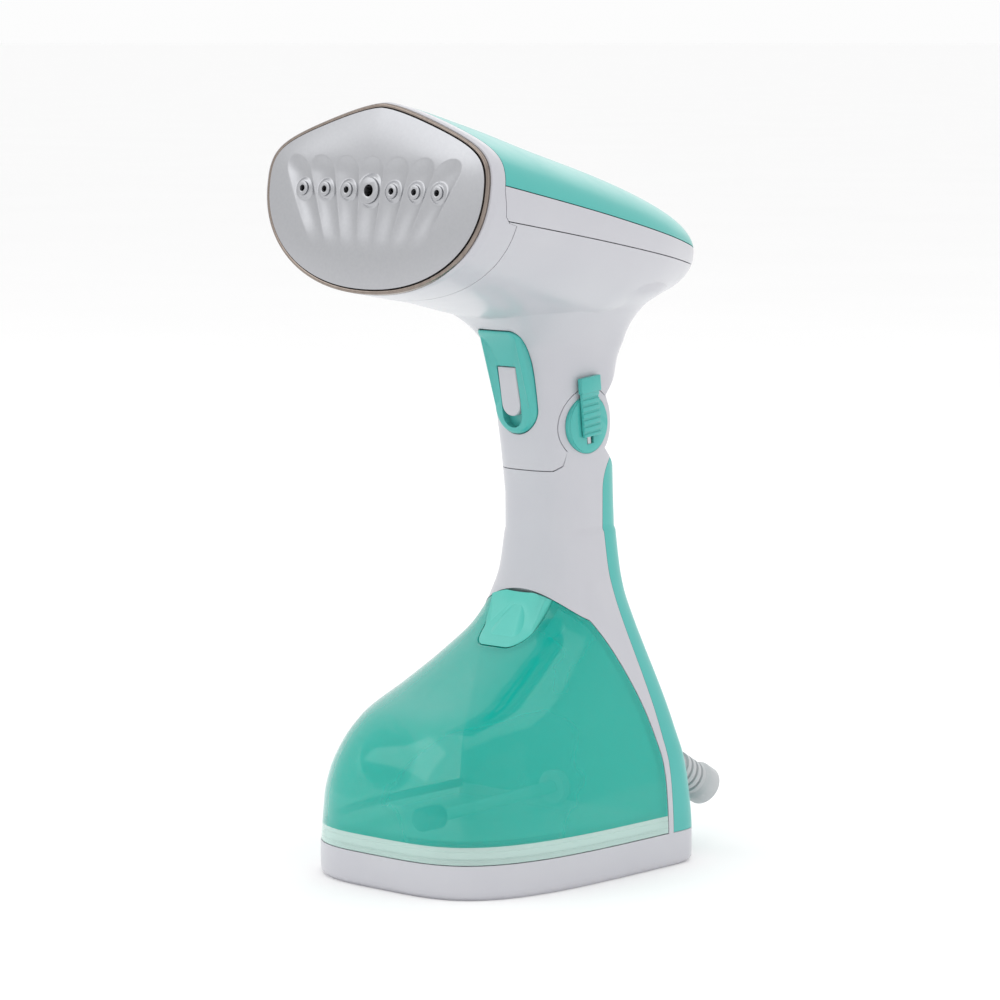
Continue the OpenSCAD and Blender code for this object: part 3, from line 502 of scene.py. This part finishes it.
band = keep(head_form(), above(head_z - 19.6 + seam, 0.165))
cut(band, above(head_z - 9.6 - seam, 0.206), head_form(wall), front_zone(seam))
finished(band, "cover_band_skin", "head", white, "cover_band")

# %% The shell that is also the neck
shell = join(head_form(), neck_form())
cut(shell, above(head_z - 19.6 - seam, 0.165), front_zone(seam), join(head_form(wall), neck_form(wall)))
def near_pivot(points):
    return [[pivot_y + p[0], pivot_z + p[1]] for p in points]

def hinge_line(g):
    """The handle's own edge at the hinge, grown by g: a step in front, the pin, and a fall behind it."""
    return near_pivot([[-far, -17.5 + g], [-14 - g, -17.5 + g], [-11 - g, -15.5 + g], [-9.8, -9.8], [0, 0],
                       [9.8, -9.8 + g], [far, -far + g], [far, -far - 9], [-far, -far - 9]])

fold_line = [[0, 0], [0, gap], [28, 28 + gap], [far, 28 + gap], [far, -far], [0, -far]]
cut(shell, block(hinge_line(gap), -200, 200), block(near_pivot(fold_line), -200, 200))
cut(shell, rod(ear_r + gap, 11.35, 60, pivot_y, pivot_z), rod(ear_r + gap, -60, -11.35, pivot_y, pivot_z))

def trigger_outline(grow=0.0, count=144):
    """The trigger seen from the front: straight sides, a round foot and softly rounded top corners."""
    top, low, half, corner = pivot_z + 36.5, pivot_z - 3.3, 10.0, 3.0
    a = np.linspace(pi, 2 * pi, count // 2)
    foot = np.stack([(half + grow) * np.cos(a), low + half + (half + grow) * np.sin(a)], -1)
    b = np.linspace(0, pi / 2, count // 4)
    right = np.stack([half - corner + (corner + grow) * np.cos(b),
                      top - corner + (corner + grow) * np.sin(b)], -1)
    left = right[::-1] * [-1, 1]
    return np.concatenate([foot, right, left])

cut(shell, block(trigger_outline(gap), -60, pivot_y - 14, "y"))
barrel_side = 11.5
cut(shell, rod(12.6, -barrel_side, barrel_side, pivot_y, pivot_z))
cut(shell, keep(rod(20.4, -barrel_side, barrel_side, pivot_y, pivot_z),
                block(near_pivot([[0, 0], [20, -30], [40, -30], [40, 40], [0, 40]]), -60, 60)))
finished(shell, "head_shell_skin", "head", white, "head_shell")

# %% [markdown]
# ## The handle, its foot and its back strip
# The handle flows into the foot in one moulding. The coloured strip behind it is a lid that a maker
# takes off to reach the pump, and a thin dark gap runs round it.

# %% The handle's mouldings
turn = np.linspace(0, pi / 2, 46)
def tank_room(g, ahead=0.0):
    """The arch the tank fills, g larger: its side view and its front view, where they overlap."""
    side = [[-far, foot_h + gap - g], [tank_back - ahead + g, foot_h + gap - g]]
    side += np.stack([4 - ahead + (tank_back - 4 + g) * np.cos(turn),
                      30 + (tank_top - 30 + g) * np.sin(turn)], -1).tolist()
    side += [[-far, tank_top + g]]
    half, a = foot_w / 2 + g, np.linspace(pi, 0, 91)
    front = [[half, -far], [-half, -far]]
    front += np.stack([half * np.cos(a), 20 + (tank_top - 25 + g) * np.sin(a)], -1).tolist()
    return keep(block(side, -200, 200), block(front, -300, 300, "y"))

def back_room(g):
    """The coloured strip's side view: behind a straight line that bends back at the top."""
    bend = np.stack([strip_y + 14 - (14 + g) * np.cos(turn), strip_top - 16 + (16 + g) * np.sin(turn)], -1)
    return block([[far, strip_top + g], [far, foot_h - g], [strip_y - g, foot_h - g]] + bend.tolist(),
                 -200, 200)

def cube(low, high):
    """A plain cutting block between two corners."""
    return block([[low[1], low[2]], [high[1], low[2]], [high[1], high[2]], [low[1], high[2]]],
                 low[0], high[0])

fork, slot = grip_w / 2 - 3.8, grip_w / 2 - 6.3
disc_r, valve_z = 11.2, foot_h + 12

def bar(radius, x, z, low, high, count=64):
    """A round bar along Y."""
    a = np.linspace(0, 2 * pi, count, endpoint=False)
    return block(np.stack([x + radius * np.cos(a), z + radius * np.sin(a)], -1), low, high, "y")

handle = keep(body_form(), join(block(hinge_line(0), -200, 200),
                                rod(ear_r, -grip_w, grip_w, pivot_y, pivot_z)))
hollow = cut(body_form(wall, under), tank_room(gap + wall), rod(ear_r, fork + 0.1, grip_w, pivot_y, pivot_z),
             rod(ear_r, -grip_w, -fork - 0.1, pivot_y, pivot_z))
cut(handle, hollow, tank_room(gap), back_room(0))
cut(handle, cube((-fork - 0.1, pivot_y - 9.1, pivot_z - 30.1), (fork + 0.1, pivot_y + 9.1, pivot_z + 30)),
    rod(ear_r - 1.9, -fork - 0.1, fork + 0.1, pivot_y, pivot_z), rod(20.8, -slot, slot, pivot_y, pivot_z),
    bar(6.6, 0, valve_z, 0, 200))
for side in (-1, 1):
    near = sorted((side * (grip_w / 2 - 1.9), side * grip_w))
    deep = sorted((side * (grip_w / 2 - 2.7), side * grip_w))
    cut(handle, rod(disc_r + 0.1, *near, pivot_y, pivot_z), rod(disc_r - 2.9, *deep, pivot_y, pivot_z))
finished(handle, "handle_skin", "handle", white, "handle_shell")

strip = keep(body_form(), back_room(-seam), block(hinge_line(0), -200, 200))
cut(strip, body_form(wall, under), rod(20.8, -slot, slot, pivot_y, pivot_z), bar(7.1, guard_x, guard_z, 0, 200))
finished(strip, "back_strip_skin", "handle", teal, "back_cover")

# %% [markdown]
# ## The water tank
# The tank is two clear mouldings welded together: a deep tinted shell and a paler lid under it. Light
# passes twice through every wall, so both are drawn as thin shells with an inside and an outside.

# %% Tank shell, its lid and the press button
thick, cover_top, plug_x = 2.0, 19.85, -44.5

def latch_outline(grow=0.0, count=160):
    """The button seen from the front: round at the foot, wider at the top."""
    a = np.linspace(0, 2 * pi, count, endpoint=False)
    arcs = [(5.6, 91, 7), (17.5, 124, 1)]
    points = np.concatenate([np.stack([sx * x + (r + grow) * np.cos(a), z + (r + grow) * np.sin(a)], -1)
                             for x, z, r in arcs for sx in (1, -1)])
    side = np.stack([np.cos(a), np.sin(a)], -1)
    return points[np.argmax(points @ side.T, axis=0)] + 0.0005 * side

def latch_room(grow, deep):
    """The pocket behind the button, down to a given depth under the body's surface."""
    return cut(block(latch_outline(grow), -200, 50, "y"), body_form(deep, under))

tank = keep(body_form(0.15), tank_room(0))
inside = keep(body_form(thick, under), tank_room(-thick))
cut(inside, rod(12.5, -far, plug_x + 6, plug_y, plug_z), latch_room(gap + thick, 11 + thick))
cut(tank, inside, cube((-200, -200, -20), (200, 200, cover_top)), latch_room(gap, 11),
    rod(10.9, -far, plug_x, plug_y, plug_z), rod(8, -far, 0, plug_y, plug_z),
    bar(5.1, 0, valve_z, 10, 200))
finished(tank, "tank_skin", "tank", tank_clear, "tank_shell")

z = np.concatenate([[13.0], np.arange(13.3, 20.4, 0.12)])
groove = 0.15 + 0.16 * (np.exp(-((z - 15.2) / 0.22) ** 2) + np.exp(-((z - 18.1) / 0.22) ** 2))
lid = keep(solid("lid", body_rings(z, groove)), tank_room(0),
           cube((-200, -200, foot_h + gap), (200, 200, cover_top)))
cut(lid, keep(body_form(thick + 0.15, under), tank_room(-thick),
              cube((-200, -200, foot_h + gap + 2), (200, 200, 60))))
finished(lid, "tank_lid_skin", "tank", cover_clear, "tank_cover", sharp=60)

def relief(name, outline, centre, proud, deep, edge=1.2):
    """A lid that stands proud of the body's front: its face follows the body at a constant height, and
    its rim turns down in a quarter circle of radius edge. Rings run from the middle to the rim and round
    to the back."""
    def ring(p, height):
        return np.stack([p[:, 0], front_face(p[:, 0], p[:, 1], height), p[:, 1]], -1)
    face = [ring(centre + (outline(-edge) - centre) * s, proud) for s in np.linspace(0.02, 1, 26)]
    rim = [ring(outline(-edge * (1 - sin(a))), proud - edge * (1 - cos(a)))
           for a in np.linspace(0, pi / 2, 9)[1:]]
    back = [ring(centre + (outline(0.0) - centre) * s, -deep) for s in (1, 0.02)]
    return solid(name, np.stack(face + rim + back))

button = keep(relief("button", latch_outline, np.array([0, 104.0]), 0.25, 2.5, 0.9),
              tank_room(0, ahead=2.0))
arrow = [[0, 97.5], [4.2, 91.2], [2.4, 91.2], [2.4, 87.6], [-2.4, 87.6], [-2.4, 91.2], [-4.2, 91.2]]
join(button, keep(block(arrow, -200, 0, "y"), body_form(-0.6, under)))
finished(button, "tank_button_skin", "latch", pale_teal, "tank_latch")

# %% [markdown]
# ## Trigger and steam lock
# The trigger is a rounded tongue that stands a little proud of the neck. The white bar in it slides
# down to hold the steam on, so the trigger has a pocket that is longer than the bar.

# %% The trigger and its lock
def lock_outline(grow=0.0, drop=0.0, count=60):
    """The lock bar seen from the front: straight on top, round at its foot."""
    a = np.linspace(pi, 2 * pi, count)
    foot = np.stack([(4.5 + grow) * np.cos(a), 175.1 - drop + (4.5 + grow) * np.sin(a)], -1)
    return np.concatenate([foot, [[4.5 + grow, 189.4 + grow], [-4.5 - grow, 189.4 + grow]]])

tongue = relief("trigger", trigger_outline, np.array([0, 183.0]), 1.6, 2.2, 1.5)
cut(tongue, cut(block(lock_outline(0.3, 4.2), -80, 60, "y"), body_form(1.6, under)))
finished(tongue, "trigger_skin", "trigger", teal, "trigger")
finished(relief("lock", lock_outline, np.array([0, 181.0]), 1.9, 0.8, 0.6), "steam_lock_skin", "steam_lock",
         white, "steam_lock")

# %% [markdown]
# ## The steam plate
# The plate is a low dome of satin metal. Seven scallops run down it, one from each jet, so that steam
# spreads under the plate. Its surface is a height over the plate's outline, sampled on rings that
# follow the outline; the jets' holes are cut through it afterwards.

# %% The plate and its trim
plate_t, crown, pitch = 3.0, 2.2, 11.2

def plate_depth(x, v, inset):
    """How far the plate stands out: a parabola from the rim to the crown, less one scallop for each jet.
    A scallop is a trough across, round at its top end and fading at its foot; troughs lean together
    downwards and leave ridges between them."""
    dome = 0.8 + crown * (1 - (1 - np.clip(inset / 15, 0, 1)) ** 2)
    carve = np.zeros_like(x)
    for k in range(-3, 4):
        spread = 1 + 0.014 * (v + 1.4)
        u = (x - k * pitch * spread) / (5.7 * spread)
        top = np.clip((v - 4) / 7, 0, None)
        e = np.clip(1 - u ** 2 - top ** 2, 0, 1)
        fade = np.clip((v + 25) / 19, 0, 1)
        pad = np.clip((np.hypot(x - k * pitch, v + 1.4) - (5.2 if k == 0 else 3.0)) / 1.2, 0, 1)
        carve = np.maximum(carve, 1.15 * e * fade * fade * (3 - 2 * fade) * pad)
    return dome - carve * np.clip(inset / 5, 0, 1)

rim = plate_outline(0.05, 420)
middle = np.array([0, -3.0])
share = np.concatenate([np.linspace(0.004, 0.97, 130), np.linspace(0.976, 1, 8)])
rings = []
for f in share:
    q = middle + (rim - middle) * f
    inset = (1 - f) * np.linalg.norm(rim - middle, axis=1) * 0.8
    rings.append(on_plate(q[:, 0], plate_depth(q[:, 0], q[:, 1], inset), q[:, 1]))
for f, depth in ((1, -plate_t), (0.01, -plate_t)):
    q = middle + (rim - middle) * f
    rings.append(on_plate(q[:, 0], np.full(len(q), depth), q[:, 1]))
plate = solid("plate", np.stack(rings))
for k in range(-3, 4):
    a = np.linspace(0, 2 * pi, 48, endpoint=False)
    r = 4.05 if k == 0 else 2.05
    ends = [on_plate(k * pitch + r * np.cos(a), np.full(48, d), -1.4 + r * np.sin(a)) for d in (-9.0, 9.0)]
    cut(plate, solid("hole", np.stack(ends)))
finished(plate, "steam_plate", "head", plate_metal, "face_plate", sharp=38)

def band_ring(name, profile, outline):
    """A closed band: each point of the profile is (how far outside the outline, how far out), and the
    band is that profile carried along the outline and joined to itself."""
    rings = np.stack([on_plate(outline(g)[:, 0], np.full(len(outline(g)), d), outline(g)[:, 1])
                      for g, d in profile])
    rows, count = rings.shape[:2]
    i, j = np.meshgrid(np.arange(rows), np.arange(count), indexing="ij")
    k, m = (j + 1) % count, (i + 1) % rows
    mesh = bpy.data.meshes.new(name)
    quads = np.stack([i * count + j, i * count + k, m * count + k, m * count + j], -1)
    mesh.from_pydata((rings.reshape(-1, 3) / 1000).tolist(), [], quads.reshape(-1, 4).tolist())
    return put(name, outward(mesh))

crest = np.linspace(0, pi, 13)
profile = [(1.05 - 0.8 * cos(a), -0.15 + 0.75 * sin(a)) for a in crest] + [(1.85, -2.8), (0.25, -2.8)]
trim = band_ring("trim", profile, lambda g: plate_outline(g, 360))
finished(trim, "trim_band", "head", trim_metal, "trim_ring")

# %% [markdown]
# ## Small parts that keep the model's own shape
# The disc, the fold lock, the cord guard and the like are already exact. A real moulding has no sharp
# edge, though: the tool is rounded so that the part comes out and feels smooth. Each copy below is the
# model's own mesh with its flat faces joined up and its edges rounded.

# %% Rounded copies
def softened(node, name, body, finish, width, steps=2, sharp=30):
    """A copy of a model piece with its edges rounded by width in millimetres."""
    mesh = bpy.data.objects[node].data.copy()
    work = bmesh.new()
    work.from_mesh(mesh)
    bmesh.ops.remove_doubles(work, verts=work.verts[:], dist=2e-6)
    bmesh.ops.dissolve_limit(work, angle_limit=radians(0.6), verts=work.verts[:], edges=work.edges[:])
    work.to_mesh(mesh)
    work.free()
    obj = put(name, mesh)
    bevel = obj.modifiers.new("round", "BEVEL")
    bevel.width, bevel.segments, bevel.limit_method = width / 1000, steps, "ANGLE"
    bevel.angle_limit = radians(35)
    made = bpy.data.meshes.new_from_object(obj.evaluated_get(bpy.context.evaluated_depsgraph_get()))
    obj.modifiers.clear()
    obj.data = made
    bpy.data.meshes.remove(mesh)
    return finished(obj, name, body, finish, node, sharp=sharp)

for node, body, finish, width in (
        ("hinge_disc_right", "handle", teal, 0.3), ("hinge_disc_left", "handle", teal, 0.3),
        ("lock_slider", "lock", teal, 0.22), ("hinge_fork", "handle", grey, 0.3),
        ("hinge_barrel", "head", white, 0.3), ("steam_jets", "head", plate_metal, 0.12),
        ("cord_guard", "handle", grey, 0.3), ("foot_plate", "handle", grey, 0.4),
        ("rubber_feet", "handle", rubber, 0.25), ("foot_screws", "handle", steel, 0.1),
        ("filler_plug", "plug", rubber, 0.3), ("tank_valve", "tank", white, 0.2),
        ("tank_filter", "tank", rubber, 0.3), ("valve_seat", "handle", white, 0.2)):
    softened(node, node + "_soft", body, finish, width)

# %% [markdown]
# ## Finishes of the pieces inside
# The pump, the heater and the hoses are hidden while the covers are on, and are finished all the same:
# they show through the tank and when the head is folded.

# %% The model's own pieces
finishes = {
    white: "pump_body valve_seat nozzle_housing cover_band head_shell handle_shell hinge_barrel "
           "steam_lock tank_valve",
    grey: "foot_plate hinge_fork pump_bracket cord_guard terminal_block",
    teal: "back_cover hinge_disc_right hinge_disc_left lock_slider top_cover trigger trigger_lever",
    pale_teal: "tank_latch", rubber: "rubber_feet tank_filter filler_plug",
    steel: "foot_screws hinge_pin lock_spring steam_jets heating_element chamber_cover heater_screws "
           "trigger_pin trigger_spring latch_spring",
    copper: "pump_coil", seal: "valve_seal chamber_gasket tank_seal plug_seal",
    hose: "inlet_hose outlet_hose steam_pipe", black: "cord_clamp thermostat microswitch",
    plate_metal: "face_plate", trim_metal: "trim_ring", cast: "heater_block", sleeve: "thermal_fuse",
    tank_clear: "tank_shell", cover_clear: "tank_cover", tube_clear: "pickup_tube"}
for finish, names in finishes.items():
    for name in names.split():
        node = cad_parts[name]
        node.data.materials.clear()
        node.data.materials.append(finish)
print("model pieces finished:", sum(len(n.split()) for n in finishes.values()), "of", len(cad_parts))
